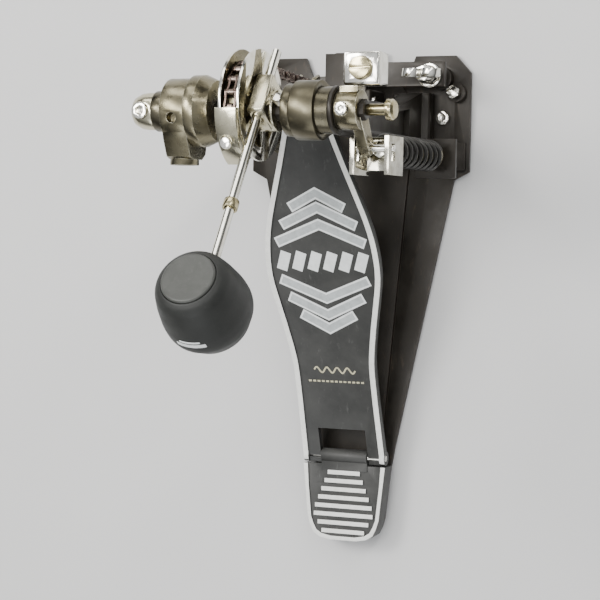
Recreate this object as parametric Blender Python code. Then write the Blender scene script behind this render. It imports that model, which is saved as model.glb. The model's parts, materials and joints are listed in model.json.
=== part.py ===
"""Bass drum pedal: footboard, chain drive, beater, return spring and hoop clamp, built as separate pieces.

Frame: X to the player's right, Y towards the drum, Z up. The origin is on the floor under the axle, on the
footboard's centre line. Driving dimensions are in millimetres, and the mesh helpers turn them into metres.
"""

import math

import bpy
import bmesh
from mathutils import Matrix, Vector

MM = 0.001
GAP = 0.3

# Axle and its line
AXLE_Z = 200.0
AXLE_HEX_RADIUS = 6.6
HEX_GAP = 0.45
AXLE_LEFT = -58.5
CAP_SCREW_X = -67.0
AXLE_RIGHT = 77.0

# Footboard and heel
HINGE_Y = -229.5
HINGE_Z = 20.0
BOARD_SLOPE = math.radians(19.6)
BOARD_LENGTH = 256.0
BOARD_BOTTOM = -2.0
BOARD_TOP = 4.0
BORDER_WIDTH = 3.7
BORDER_HEIGHT = 1.5
NOTCH_WIDTH = 35.0
NOTCH_DEPTH = 22.0
PIN_RADIUS = 2.3
BARREL_RADIUS = 5.0

# Base plate
PLATE_BOTTOM = 2.2
PLATE_TOP = 5.2
RAISED_TOP = 8.0

# Chain and cam
CHAIN_X = 1.75
CHAIN_WIDTH = 7.6
CHAIN_RADIUS = 28.5
CHAIN_HALF_HEIGHT = 2.5
CAM_TURN = math.radians(71.3)
LINK_COUNT = 4
LINK_ANGLE = CAM_TURN / LINK_COUNT
CAM_LEFT = -5.0
CAM_RIGHT = 8.5
FLANGE_THICKNESS = 1.8
CAM_CORE_RADIUS = 25.0
HUB_RIGHT = 21.0
WINDOW_OUTER = 22.0
WINDOW_INNER = 12.0
ANCHOR_START = LINK_ANGLE * (LINK_COUNT + 1)
ANCHOR_END = math.radians(154.0)
TOE_PIN_ALONG = 267.5
TOE_PIN_ABOVE = -2.9

# Beater, in a frame whose Z runs along the rod and whose Y points out of the striking face
BEATER_LEAN = math.radians(55.7)
ROD_X = 13.5
ROD_OFFSET = 10.5
ROD_RADIUS = 3.0
ROD_TAIL = -38.0
HEAD_ALONG = 142.7
COLLAR_ALONG = 77.0

# Spring side
SPRING_X = 76.0
ARM_RADIUS = 27.0
ARM_ANGLE = CAM_TURN / 2
SPRING_Y = -ARM_RADIUS * math.cos(ARM_ANGLE)
ARM_PIN_Z = AXLE_Z - ARM_RADIUS * math.sin(ARM_ANGLE)
SPRING_TOP = 166.0
SPRING_BOTTOM = 78.0
SPRING_RADIUS = 9.0
SPRING_TURNS = 10

# Hoop clamp
CLAMP_PIVOT_Y = 18.0
CLAMP_PIVOT_Z = 31.0
WING_X = 61.0
WING_Y = 34.0
SPUR_X = 72.0
SPUR_Y = 24.0

MATERIALS = {
    "aged_nickel": ((0.30, 0.28, 0.21), 0.32, 1.0),
    "chrome": ((0.72, 0.71, 0.68), 0.12, 1.0),
    "brass": ((0.55, 0.47, 0.27), 0.28, 1.0),
    "dark_steel": ((0.035, 0.032, 0.028), 0.42, 0.9),
    "black_paint": ((0.045, 0.045, 0.043), 0.5, 0.2),
    "chain_steel": ((0.06, 0.035, 0.03), 0.4, 1.0),
    "spring_steel": ((0.10, 0.10, 0.10), 0.3, 1.0),
    "rubber": ((0.02, 0.02, 0.02), 0.85, 0.0),
    "beater_felt": ((0.045, 0.047, 0.045), 0.7, 0.0),
    "beater_plastic": ((0.17, 0.175, 0.17), 0.45, 0.0),
}


def clear_scene():
    for obj in list(bpy.data.objects):
        bpy.data.objects.remove(obj)


def new_collection(name):
    collection = bpy.data.collections.new(name)
    bpy.context.scene.collection.children.link(collection)
    return collection


clear_scene()
PARTS = new_collection("bass_drum_pedal")
CUTTERS = new_collection("cutters")


def material(name):
    found = bpy.data.materials.get(name)
    if found:
        return found
    colour, roughness, metallic = MATERIALS[name]
    made = bpy.data.materials.new(name)
    made.use_nodes = True
    shader = made.node_tree.nodes["Principled BSDF"]
    shader.inputs["Base Color"].default_value = (*colour, 1.0)
    shader.inputs["Roughness"].default_value = roughness
    shader.inputs["Metallic"].default_value = metallic
    return made


# ---- shapes, each an object in the cutters collection until a node takes it ----


def shape_from(bm):
    mesh = bpy.data.meshes.new("shape")
    bmesh.ops.scale(bm, vec=(MM, MM, MM), verts=bm.verts)
    bm.normal_update()
    bm.to_mesh(mesh)
    bm.free()
    obj = bpy.data.objects.new("shape", mesh)
    obj.hide_render = True
    obj.display_type = "WIRE"
    CUTTERS.objects.link(obj)
    return obj


def box(x, y, z, bevel=0.0):
    bm = bmesh.new()
    bmesh.ops.create_cube(bm, size=1.0)
    size = (x[1] - x[0], y[1] - y[0], z[1] - z[0])
    middle = ((x[0] + x[1]) / 2, (y[0] + y[1]) / 2, (z[0] + z[1]) / 2)
    bmesh.ops.scale(bm, vec=size, verts=bm.verts)
    bmesh.ops.translate(bm, vec=middle, verts=bm.verts)
    if bevel:
        bmesh.ops.bevel(bm, geom=bm.edges[:], offset=bevel, segments=1, affect="EDGES")
    return shape_from(bm)


AXIS_TURN = {
    "X": Matrix.Rotation(math.radians(90), 4, "Y"),
    "Y": Matrix.Rotation(math.radians(-90), 4, "X"),
    "Z": Matrix.Identity(4),
}


def rod(axis, centre, radius, start, end, sides=24, top_radius=None, spin=0.0):
    """A cylinder or cone along an axis, from start to end; centre gives its other two coordinates."""
    bm = bmesh.new()
    bmesh.ops.create_cone(
        bm,
        cap_ends=True,
        segments=sides,
        radius1=radius,
        radius2=radius if top_radius is None else top_radius,
        depth=end - start,
        matrix=AXIS_TURN[axis] @ Matrix.Rotation(spin, 4, "Z"),
    )
    middle = (start + end) / 2
    place = {
        "X": (middle, centre[0], centre[1]),
        "Y": (centre[0], middle, centre[1]),
        "Z": (centre[0], centre[1], middle),
    }[axis]
    bmesh.ops.translate(bm, vec=place, verts=bm.verts)
    return shape_from(bm)


def outline_solid(axis, points, start, end, holes=()):
    """A flat outline extruded along X (points are Y, Z) or along Z (points are X, Y)."""
    curve = bpy.data.curves.new("outline", "CURVE")
    curve.dimensions = "2D"
    curve.fill_mode = "BOTH"
    curve.extrude = (end - start) / 2 * MM
    for ring in (points, *holes):
        spline = curve.splines.new("POLY")
        spline.points.add(len(ring) - 1)
        for point, (a, b) in zip(spline.points, ring):
            point.co = (a * MM, b * MM, 0.0, 1.0)
        spline.use_cyclic_u = True
    source = bpy.data.objects.new("outline", curve)
    CUTTERS.objects.link(source)
    bpy.context.view_layer.update()
    graph = bpy.context.evaluated_depsgraph_get()
    mesh = bpy.data.meshes.new_from_object(source.evaluated_get(graph))
    bpy.data.objects.remove(source)
    bm = bmesh.new()
    bm.from_mesh(mesh)
    bpy.data.meshes.remove(mesh)
    bmesh.ops.remove_doubles(bm, verts=bm.verts, dist=1e-6)
    bmesh.ops.recalc_face_normals(bm, faces=bm.faces)
    bmesh.ops.scale(bm, vec=(1 / MM, 1 / MM, 1 / MM), verts=bm.verts)
    middle = (start + end) / 2
    if axis == "X":
        turn = Matrix(((0, 0, 1, middle), (1, 0, 0, 0), (0, 1, 0, 0), (0, 0, 0, 1)))
    else:
        turn = Matrix.Translation((0, 0, middle))
    bmesh.ops.transform(bm, matrix=turn, verts=bm.verts)
    return shape_from(bm)


def turned(axis, centre, profile, sides=40):
    """A solid of revolution about an axis; profile holds (radius, along) from one pole to the other."""
    bm = bmesh.new()
    poles = [bm.verts.new((0, 0, profile[0][1])), bm.verts.new((0, 0, profile[-1][1]))]
    rings = []
    for radius, along in profile[1:-1]:
        ring = []
        for step in range(sides):
            angle = 2 * math.pi * step / sides
            ring.append(bm.verts.new((radius * math.cos(angle), radius * math.sin(angle), along)))
        rings.append(ring)
    for first, second in zip(rings, rings[1:]):
        for step in range(sides):
            after = (step + 1) % sides
            bm.faces.new((first[step], first[after], second[after], second[step]))
    for step in range(sides):
        after = (step + 1) % sides
        bm.faces.new((poles[0], rings[0][after], rings[0][step]))
        bm.faces.new((poles[1], rings[-1][step], rings[-1][after]))
    bmesh.ops.recalc_face_normals(bm, faces=bm.faces)
    bmesh.ops.transform(bm, matrix=Matrix.Translation(centre) @ AXIS_TURN[axis], verts=bm.verts)
    return shape_from(bm)


def boolean(target, tool, operation):
    modifier = target.modifiers.new(operation.lower(), "BOOLEAN")
    modifier.operation = operation
    modifier.object = tool
    modifier.solver = "EXACT"


def node(name, look, body, joined=(), cut=(), frame=None, axis_at=None):
    """Makes one named piece from a body, what joins it and what cuts it.

    frame is an empty whose own frame the piece is modelled in; axis_at is a point on the piece's joint axis.
    """
    for tool in joined:
        boolean(body, tool, "UNION")
    for tool in cut:
        boolean(body, tool, "DIFFERENCE")
    body.name = name
    body.data.name = name
    body.hide_render = False
    body.display_type = "TEXTURED"
    CUTTERS.objects.unlink(body)
    PARTS.objects.link(body)
    body.data.materials.clear()
    body.data.materials.append(material(look))
    if frame:
        for piece in (body, *joined, *cut):
            piece.parent = frame
    if axis_at:
        for piece in (body, *joined, *cut):
            piece.data.transform(Matrix.Translation(-Vector(axis_at) * MM))
            piece.location = Vector(axis_at) * MM
    body.data.shade_smooth()
    body.data.set_sharp_from_angle(angle=math.radians(35))
    return body


def pivot(name, place, tilt=0.0):
    """An empty on a joint's axis; pieces under it are modelled in its own frame."""
    empty = bpy.data.objects.new(name, None)
    empty.location = Vector(place) * MM
    empty.rotation_euler = (tilt, 0.0, 0.0)
    PARTS.objects.link(empty)
    return empty


def on_circle(radius, angle, centre=(0.0, AXLE_Z)):
    """A point at an angle from +Y towards +Z, as (Y, Z)."""
    return (centre[0] + radius * math.cos(angle), centre[1] + radius * math.sin(angle))


def arc(radius, start, end, steps, centre=(0.0, AXLE_Z)):
    return [on_circle(radius, start + (end - start) * i / steps, centre) for i in range(steps + 1)]


def mirrored(half):
    """Closes a right-hand outline, listed from front to back, with its mirror image."""
    return half + [(-x, y) for x, y in reversed(half)]


def smooth(points, steps):
    """A Catmull-Rom curve through points, with the ends kept."""
    padded = [points[0], *points, points[-1]]
    result = []
    for a, b, c, d in zip(padded, padded[1:], padded[2:], padded[3:]):
        for step in range(steps):
            t = step / steps
            result.append(
                tuple(
                    0.5 * (2 * q + (r - p) * t + (2 * p - 5 * q + 4 * r - s) * t * t
                           + (3 * q - p - 3 * r + s) * t ** 3)
                    for p, q, r, s in zip(a, b, c, d)
                )
            )
    return result + [points[-1]]


# ---- base, posts and bearings ----

PLATE_HALF = [
    (15, 37), (36, 37), (41, 50), (70, 50), (81, 38), (81, -30), (70, -36), (31, -222), (26, -250),
    (20, -278), (11, -286),
]
RAISED_HALF = [(14, 33), (30, 33), (38, 20), (38, -30), (22, -222), (16, -268), (10, -278)]
POST_Y = 24.0
RECESS_DEPTH = 4.0


def make_base():
    raised = outline_solid("Z", mirrored(RAISED_HALF), PLATE_TOP - 1, RAISED_TOP)
    plate = outline_solid("Z", mirrored(PLATE_HALF), PLATE_BOTTOM, PLATE_TOP)
    bosses = [rod("Z", (sign * SPUR_X, SPUR_Y), 6.5, PLATE_TOP - 1, 11.0, sides=28) for sign in (-1, 1)]
    bosses.append(rod("Z", (WING_X, WING_Y), 8.0, PLATE_TOP - 1, 12.0, sides=28))
    spur_holes = [rod("Z", (sign * SPUR_X, SPUR_Y), 3.3, -5, 20, sides=20) for sign in (-1, 1)]
    bolt_hole = rod("Z", (WING_X, WING_Y), 3.8, 6.0, 20, sides=20)
    node("base_plate", "dark_steel", plate, joined=[raised, *bosses], cut=[*spur_holes, bolt_hole])
    for side, sign in (("left", -1), ("right", 1)):
        foot = [(sign * x, y) for x, y in ((34, 0), (45, 46), (68, 46), (77, 34), (77, -26), (34, -26))]
        pad = outline_solid("Z", foot, 0, PLATE_BOTTOM - GAP)
        spur_hole = rod("Z", (sign * SPUR_X, SPUR_Y), 4.0, -5, 10, sides=20)
        node(f"{side}_front_pad", "rubber", pad, cut=[spur_hole])
        node(
            f"{side}_base_screw",
            "chrome",
            rod("Z", (sign * 61.6, 7), 5.5, PLATE_TOP + GAP, 8.2, sides=28, top_radius=4.6),
            cut=[rod("Z", (sign * 61.6, 7), 2.2, 6.6, 9, sides=6)],
        )
    node("centre_pad", "rubber", box((-12, 12), (-14, 14), (0, PLATE_BOTTOM - GAP)))
    heel = [(-24, -208), (-19, -262), (-12, -280), (12, -280), (19, -262), (24, -208)]
    node("heel_pad", "rubber", outline_solid("Z", heel, 0, PLATE_BOTTOM - GAP))


def post_recesses(low_x, high_x):
    """Pockets in both faces of a post, which leave a web in its middle."""
    outline = [(-7.0, 158), (-7.5, 66), (-11.0, 40), (11.0, 40), (7.5, 66), (7.0, 158)]
    return [
        outline_solid("X", outline, low_x - 1, low_x + RECESS_DEPTH),
        outline_solid("X", outline, high_x - RECESS_DEPTH, high_x + 1),
    ]


def make_left_post():
    top = arc(20.0, math.radians(-25), math.radians(205), 22)
    sides = [(-12, 175), (-12, 60), (-POST_Y, 14), (-POST_Y, RAISED_TOP + GAP)]
    profile = top + sides + [(-y, z) for y, z in reversed(sides)]
    lobe = rod("Y", (-43, AXLE_Z - 3), 8.9, -33.0, -13.5, sides=32)
    outline = [(0, 19), (-18, 13), (-28, 8), (-29.5, 4), (-29.5, -9), (-26, -14), (0, -19)]
    blend = outline_solid("X", [(y, AXLE_Z + z) for y, z in outline], -50, -34)
    foot = box((-52, -22), (-POST_Y, POST_Y), (RAISED_TOP + GAP, 15), bevel=1.5)
    bore = rod("X", (0, AXLE_Z), 11.3, -60, -20, sides=32)
    lobe_hole = rod("Y", (-43, AXLE_Z - 3), 6.6, -40.0, -22.5, sides=28)
    top_hole = rod("Z", (-42, -5), 3.2, AXLE_Z + 13, AXLE_Z + 30, sides=16)
    post = outline_solid("X", profile, -50, -34)
    post_foot = box((-52, -24), (-POST_Y, POST_Y), (PLATE_TOP + GAP, 15), bevel=1.2)
    raised_room = box((-38.6, -20), (-60, 60), (0, RAISED_TOP + GAP))
    node(
        "left_post",
        "aged_nickel",
        post,
        joined=[blend, lobe, foot, post_foot],
        cut=[bore, lobe_hole, top_hole, raised_room, *post_recesses(-50, -34)],
    )


def make_right_post():
    top = arc(18.0, math.radians(-25), math.radians(205), 22)
    sides = [(-11, 176), (-12, 60), (-POST_Y, 14), (-POST_Y, RAISED_TOP + GAP)]
    profile = top + sides + [(-y, z) for y, z in reversed(sides)]
    foot = box((28, 55), (-POST_Y, POST_Y), (PLATE_TOP + GAP, 15), bevel=1.2)
    raised_room = box((20, 38.6), (-60, 60), (0, RAISED_TOP + GAP))
    bore = rod("X", (0, AXLE_Z), 14.3, 20, 60, sides=32)
    node(
        "right_post",
        "aged_nickel",
        outline_solid("X", profile, 34, 49),
        joined=[foot],
        cut=[bore, raised_room, *post_recesses(34, 49)],
    )


def make_bearings():
    node(
        "left_bearing",
        "aged_nickel",
        rod("X", (0, AXLE_Z), 11.0, -50.0, -19.5, sides=32),
        joined=[
            rod("X", (0, AXLE_Z), 22.0, -33.5, -27.0, sides=40),
            rod("X", (0, AXLE_Z), 22.0, -27.2, -19.0, sides=40, top_radius=18.5),
        ],
        cut=[rod("X", (0, AXLE_Z), 7.0, -60, -10, sides=28)],
    )
    node(
        "right_bearing",
        "aged_nickel",
        rod("X", (0, AXLE_Z), 14.0, 27.8, 57.0, sides=36),
        joined=[rod("X", (0, AXLE_Z), 16.0, 27.5, 33.0, sides=36)],
        cut=[rod("X", (0, AXLE_Z), 7.0, 20, 70, sides=28)],
    )
    node(
        "right_seal_ring",
        "dark_steel",
        rod("X", (0, AXLE_Z), 14.5, 57.3, 59.7, sides=36),
        cut=[rod("X", (0, AXLE_Z), 7.0, 50, 70, sides=28)],
    )


# ---- heel plate and footboard ----

BOARD_HALF = [
    (30.2, 0.0), (29.9, 22.0), (29.5, 51.5), (30.0, 73.8), (33.4, 96.0), (36.5, 112.0), (40.7, 135.8),
    (39.9, 157.3), (36.0, 176.7), (28.9, 199.6), (22.5, 220.3), (17.0, 239.9), (14.5, BOARD_LENGTH),
]
HEEL_TOP = 23.6
HEEL_RIM = 1.4
HEEL_RIM_WIDTH = 2.6
RIB_COUNT = 8
RIB_PITCH = 5.9
RIB_FIRST_Y = -241.0


def heel_half_width(y):
    """Half width of the heel plate, from the hinge line back to its rounded end."""
    along = (y - HINGE_Y) / (-287.0 - HINGE_Y)
    return 31.0 - 6.0 * along


def make_heel():
    front = HINGE_Y - BARREL_RADIUS - 1.0
    half = [(heel_half_width(y), y) for y in (front, -250, -262, -273)]
    half += [(24.6, -279), (22.2, -284), (17.5, -287), (10, -288.5)]
    inner = [(x - HEEL_RIM_WIDTH, y) for x, y in half[:4]]
    inner += [(22.0, -278), (19.8, -282), (16.0, -284.4), (9.0, -285.8)]
    inner[0] = (inner[0][0], front + 10)
    ribs = []
    for index in range(RIB_COUNT):
        y = RIB_FIRST_Y - RIB_PITCH * index
        width = min(12.0 + 2.3 * index, 22.0) if index < 6 else 22.0 - 3.0 * (index - 5)
        ribs.append(box((-width, width), (y - 1.5, y + 1.5), (HEEL_TOP - 3, HEEL_TOP)))
    floor = HEEL_TOP - HEEL_RIM
    pocket = outline_solid("Z", mirrored(inner), floor, HEEL_TOP + 5)
    block = outline_solid("Z", mirrored(half), RAISED_TOP + GAP, HEEL_TOP)
    boolean(block, pocket, "DIFFERENCE")
    tongue = box((-17.0, 17.0), (front - 4, HINGE_Y), (13.5, 23.0))
    barrel = rod("X", (HINGE_Y, HINGE_Z), BARREL_RADIUS, -17.0, 17.0, sides=28)
    hole = rod("X", (HINGE_Y, HINGE_Z), PIN_RADIUS + GAP, -50, 50, sides=20)
    node(
        "heel_plate",
        "black_paint",
        block,
        joined=[tongue, barrel, *ribs],
        cut=[hole],
    )
    node("heel_hinge_pin", "chrome", rod("X", (HINGE_Y, HINGE_Z), PIN_RADIUS, -30.0, 30.0, sides=20))


def make_footboard(frame):
    outer = smooth(BOARD_HALF, 4)
    inner = [(x - BORDER_WIDTH, y) for x, y in outer]
    inner[0] = (inner[0][0], -5.0)
    inner[-1] = (inner[-1][0], BOARD_LENGTH + 5.0)
    board = outline_solid("Z", mirrored(outer), BOARD_BOTTOM, BOARD_TOP)
    pocket = outline_solid("Z", mirrored(inner), BOARD_TOP - BORDER_HEIGHT, BOARD_TOP + 5)
    half_notch = NOTCH_WIDTH / 2
    notch = box((-half_notch, half_notch), (-20, NOTCH_DEPTH), (-20, 20))
    barrels = [rod("X", (0, 0), BARREL_RADIUS, -30.0, -half_notch - GAP, sides=28)]
    barrels.append(rod("X", (0, 0), BARREL_RADIUS, half_notch + GAP, 30.0, sides=28))
    ribs = [box((x - 1.5, x + 1.5), (26, 232), (-6.5, -1.0)) for x in (-12, 12)]
    pin_hole = rod("X", (0, 0), PIN_RADIUS + GAP, -50, 50, sides=20)
    screw_hole = rod("Z", (CHAIN_X, 246), 2.4, -10, 10, sides=16)
    node(
        "footboard",
        "black_paint",
        board,
        joined=[*barrels, *ribs],
        cut=[pocket, notch, pin_hole, screw_hole],
        frame=frame,
    )


def make_toe_clevis(frame):
    inner, outer = 4.6, 7.2
    bridge = box((CHAIN_X - outer, CHAIN_X + outer), (238, 264), (-6.0, BOARD_BOTTOM - GAP))
    cheeks = [
        box((CHAIN_X + a, CHAIN_X + b), (BOARD_LENGTH + 1, TOE_PIN_ALONG + 5), (-8, 3), bevel=0.8)
        for a, b in ((-outer, -inner), (inner, outer))
    ]
    room = box((CHAIN_X - inner, CHAIN_X + inner), (TOE_PIN_ALONG - 8, TOE_PIN_ALONG + 8), (-20, 20))
    pin_hole = rod("X", (TOE_PIN_ALONG, TOE_PIN_ABOVE), 2.2, -20, 20, sides=20)
    screw_hole = rod("Z", (CHAIN_X, 246), 2.4, -20, 20, sides=16)
    node(
        "toe_clevis",
        "aged_nickel",
        bridge,
        joined=cheeks,
        cut=[room, pin_hole, screw_hole],
        frame=frame,
    )
    node(
        "toe_pin",
        "chrome",
        rod("X", (TOE_PIN_ALONG, TOE_PIN_ABOVE), 1.9, CHAIN_X - outer - 1, CHAIN_X + outer + 1, sides=20),
        frame=frame,
    )
    floor = BOARD_TOP - BORDER_HEIGHT
    node(
        "toe_screw",
        "dark_steel",
        rod("Z", (CHAIN_X, 246), 2.1, -7.5, floor + 1.0, sides=16),
        joined=[rod("Z", (CHAIN_X, 246), 4.4, floor + GAP, floor + 2.0, sides=24, top_radius=3.6)],
        cut=[rod("Z", (CHAIN_X, 246), 1.6, floor + 1.2, floor + 5, sides=6)],
        frame=frame,
    )


# ---- chain ----

AXLE = (0.0, AXLE_Z)
TOE_PIN = (
    HINGE_Y + TOE_PIN_ALONG * math.cos(BOARD_SLOPE) - TOE_PIN_ABOVE * math.sin(BOARD_SLOPE),
    HINGE_Z + TOE_PIN_ALONG * math.sin(BOARD_SLOPE) + TOE_PIN_ABOVE * math.cos(BOARD_SLOPE),
)
CHAIN_SPAN = (CHAIN_X - CHAIN_WIDTH / 2, CHAIN_X + CHAIN_WIDTH / 2)


def along_line(start, end, points):
    """Places points given as (distance from start towards end, distance to its left)."""
    length = math.dist(start, end)
    ahead = ((end[0] - start[0]) / length, (end[1] - start[1]) / length)
    return [
        (start[0] + s * ahead[0] - t * ahead[1], start[1] + s * ahead[1] + t * ahead[0])
        for s, t in points
    ]


def make_link(number):
    """Link between two pins on the cam: round at its lower pin, hollow at its upper one."""
    lower = on_circle(CHAIN_RADIUS, (number - 1) * LINK_ANGLE)
    upper = on_circle(CHAIN_RADIUS, number * LINK_ANGLE)
    length = math.dist(lower, upper)
    half = CHAIN_HALF_HEIGHT
    hollow = half + GAP
    tail = [
        (-half * math.sin(math.pi * i / 10), half * math.cos(math.pi * i / 10))
        for i in range(11)
    ]
    head = []
    for i in range(7):
        t = -half + 2 * half * i / 6
        head.append((length - math.sqrt(hollow ** 2 - t ** 2), t))
    outline = along_line(lower, upper, tail + head)
    link = outline_solid("X", outline, *CHAIN_SPAN)
    node(f"chain_link_{number}", "chain_steel", link, axis_at=(CHAIN_X, *upper))


def make_strand():
    """Free run of chain from the toe pin up to the cam, with a waist between each pair of rollers."""
    top = on_circle(CHAIN_RADIUS, 0.0)
    length = math.dist(TOE_PIN, top) - 3.0
    pitch = 2 * CHAIN_RADIUS * math.sin(LINK_ANGLE / 2)
    steps = 44
    right = []
    for i in range(steps + 1):
        s = 3.0 + (length - 3.0) * i / steps
        right.append((s, -CHAIN_HALF_HEIGHT + 0.6 * abs(math.sin(math.pi * s / pitch))))
    outline = right + [(s, -t) for s, t in reversed(right)]
    strand = outline_solid("X", along_line(TOE_PIN, top, outline), *CHAIN_SPAN)
    node(
        "chain_strand",
        "chain_steel",
        strand,
        joined=[rod("X", TOE_PIN, 4.2, *CHAIN_SPAN, sides=24)],
        cut=[rod("X", TOE_PIN, 2.2, CHAIN_X - 20, CHAIN_X + 20, sides=20)],
        axis_at=(CHAIN_X, *TOE_PIN),
    )


def make_cam_chain():
    """Run of chain that stays on the cam, from the last free link to the anchor."""
    steps = 36
    outer = []
    for i in range(steps + 1):
        angle = CAM_TURN + (ANCHOR_START - CAM_TURN) * i / steps
        waist = 0.6 * abs(math.sin(math.pi * (angle - CAM_TURN) / LINK_ANGLE))
        outer.append(on_circle(CHAIN_RADIUS + CHAIN_HALF_HEIGHT - waist, angle))
    inner = arc(CHAIN_RADIUS - CHAIN_HALF_HEIGHT, ANCHOR_START, CAM_TURN, 12)
    end = rod("X", on_circle(CHAIN_RADIUS, CAM_TURN), CHAIN_HALF_HEIGHT, *CHAIN_SPAN, sides=24)
    node(
        "cam_chain",
        "chain_steel",
        outline_solid("X", outer + inner, *CHAIN_SPAN),
        joined=[end],
        axis_at=(0.0, *AXLE),
    )


# ---- cam, axle and what turns with them ----


def hex_bore(start, end, in_rod_frame=False):
    """Bore that fits the hexagonal axle with a small gap, in the axle's own frame or in the pedal's."""
    radius = AXLE_HEX_RADIUS + HEX_GAP
    if in_rod_frame:
        return rod("X", (0.0, 0.0), radius, start, end, sides=6)
    return rod("X", AXLE, radius, start, end, sides=6, spin=BEATER_LEAN)


def flange_outline():
    """Eccentric flange: widest in front of and below the axle."""
    points = []
    for step in range(56):
        angle = 2 * math.pi * step / 56
        points.append(on_circle(30.0 + 3.8 * (1 + math.cos(angle + math.radians(25))), angle))
    return points


def make_cam():
    left = outline_solid("X", flange_outline(), CAM_LEFT, CAM_LEFT + FLANGE_THICKNESS)
    right = outline_solid("X", flange_outline(), CAM_RIGHT - FLANGE_THICKNESS, CAM_RIGHT)
    core = rod("X", AXLE, CAM_CORE_RADIUS, CAM_LEFT + 0.5, CAM_RIGHT - 0.5, sides=56)
    windows = []
    for index in range(5):
        middle = math.radians(72 * index + 20)
        wide = math.radians(24)
        narrow = math.radians(16)
        shape = arc(WINDOW_OUTER, middle - wide, middle + wide, 6)
        shape += arc(WINDOW_INNER, middle + narrow, middle - narrow, 3)
        windows.append(outline_solid("X", shape, -20, 20))
    node(
        "cam",
        "aged_nickel",
        left,
        joined=[core, right],
        cut=[*windows, hex_bore(-20, 20)],
        axis_at=(0.0, *AXLE),
    )
    start = ANCHOR_START + math.radians(1.5)
    band = arc(33.5, start, ANCHOR_END, 10) + arc(CAM_CORE_RADIUS + 0.5, ANCHOR_END, start, 10)
    bridge = arc(37.0, start, ANCHOR_END, 10) + arc(32.7, ANCHOR_END, start, 10)
    screw_place = (CHAIN_X - 1.0, -21.0)
    inside = (CAM_LEFT + FLANGE_THICKNESS + GAP, CAM_RIGHT - FLANGE_THICKNESS - GAP)
    node(
        "chain_anchor",
        "aged_nickel",
        outline_solid("X", band, *inside),
        joined=[outline_solid("X", bridge, CAM_LEFT, CAM_RIGHT)],
        cut=[
            rod("Z", screw_place, 2.6, AXLE_Z + 20, AXLE_Z + 40, sides=16),
            rod("Z", screw_place, 4.4, AXLE_Z + 30.8, AXLE_Z + 40, sides=24),
        ],
        axis_at=(0.0, *AXLE),
    )
    node(
        "anchor_screw",
        "chrome",
        rod("Z", screw_place, 2.3, AXLE_Z + 21, AXLE_Z + 32, sides=16),
        joined=[rod("Z", screw_place, 3.9, AXLE_Z + 31.2, AXLE_Z + 34.4, sides=24, top_radius=3.2)],
        axis_at=(0.0, *AXLE),
    )


def make_axle(frame):
    bar = rod("X", (0, 0), AXLE_HEX_RADIUS, AXLE_LEFT, AXLE_RIGHT, sides=6)
    node("hex_axle", "dark_steel", bar, frame=frame)
    cap = [(0, -8), (5.5, -8), (9.0, -5.6), (11.0, -1.5), (11.5, 2.5), (11.5, 8.0), (0, 8.0)]
    node(
        "axle_collar",
        "dark_steel",
        rod("X", (0, 0), 12.6, -59.7, -50.3, sides=36),
        cut=[hex_bore(-70, -40, in_rod_frame=True)],
        frame=frame,
    )
    node(
        "axle_cap",
        "chrome",
        turned("X", (-68, 0, 0), cap),
        frame=frame,
    )
    node(
        "axle_end_bolt",
        "brass",
        rod("X", (0, 0), 6.25, 90.0, 93.5, sides=32),
        joined=[
            rod("X", (0, 0), 3.5, AXLE_RIGHT + GAP, 91.0, sides=24),
            rod("X", (0, 0), 6.25, 93.4, 95.0, sides=32, top_radius=4.8),
        ],
        frame=frame,
    )


def make_cap_screw():
    """Socket screw that stands up out of the left end cap."""
    place = (CAP_SCREW_X, 0)
    cap = bpy.data.objects["axle_cap"]
    boolean(cap, rod("Z", place, 5.3, AXLE_Z + 4, AXLE_Z + 20, sides=28), "DIFFERENCE")
    node(
        "cap_screw",
        "chrome",
        rod("Z", place, 5.0, AXLE_Z + 4.4, AXLE_Z + 13.2, sides=28),
        cut=[rod("Z", place, 2.8, AXLE_Z + 8, AXLE_Z + 20, sides=6)],
        axis_at=(0.0, *AXLE),
    )


def make_beater_hub(frame):
    node(
        "beater_hub",
        "aged_nickel",
        rod("X", (0, 0), 12.5, 9.2, HUB_RIGHT, sides=40),
        joined=[box((9.2, 20.0), (-2, 18.5), (-14, 14), bevel=1.2)],
        cut=[
            hex_bore(0, 40, in_rod_frame=True),
            rod("Z", (ROD_X, ROD_OFFSET), ROD_RADIUS + GAP, -40, 40, sides=24),
            rod("X", (ROD_OFFSET, 0), 2.7, ROD_X, 40, sides=16),
        ],
        frame=frame,
    )
    node(
        "hub_bolt",
        "chrome",
        rod("X", (ROD_OFFSET, 0), 2.4, ROD_X + ROD_RADIUS + GAP, 22.5, sides=16),
        joined=[box((HUB_RIGHT + GAP, 26.6), (ROD_OFFSET - 3.2, ROD_OFFSET + 3.2), (-3.2, 3.2), bevel=0.6)],
        frame=frame,
    )


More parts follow.
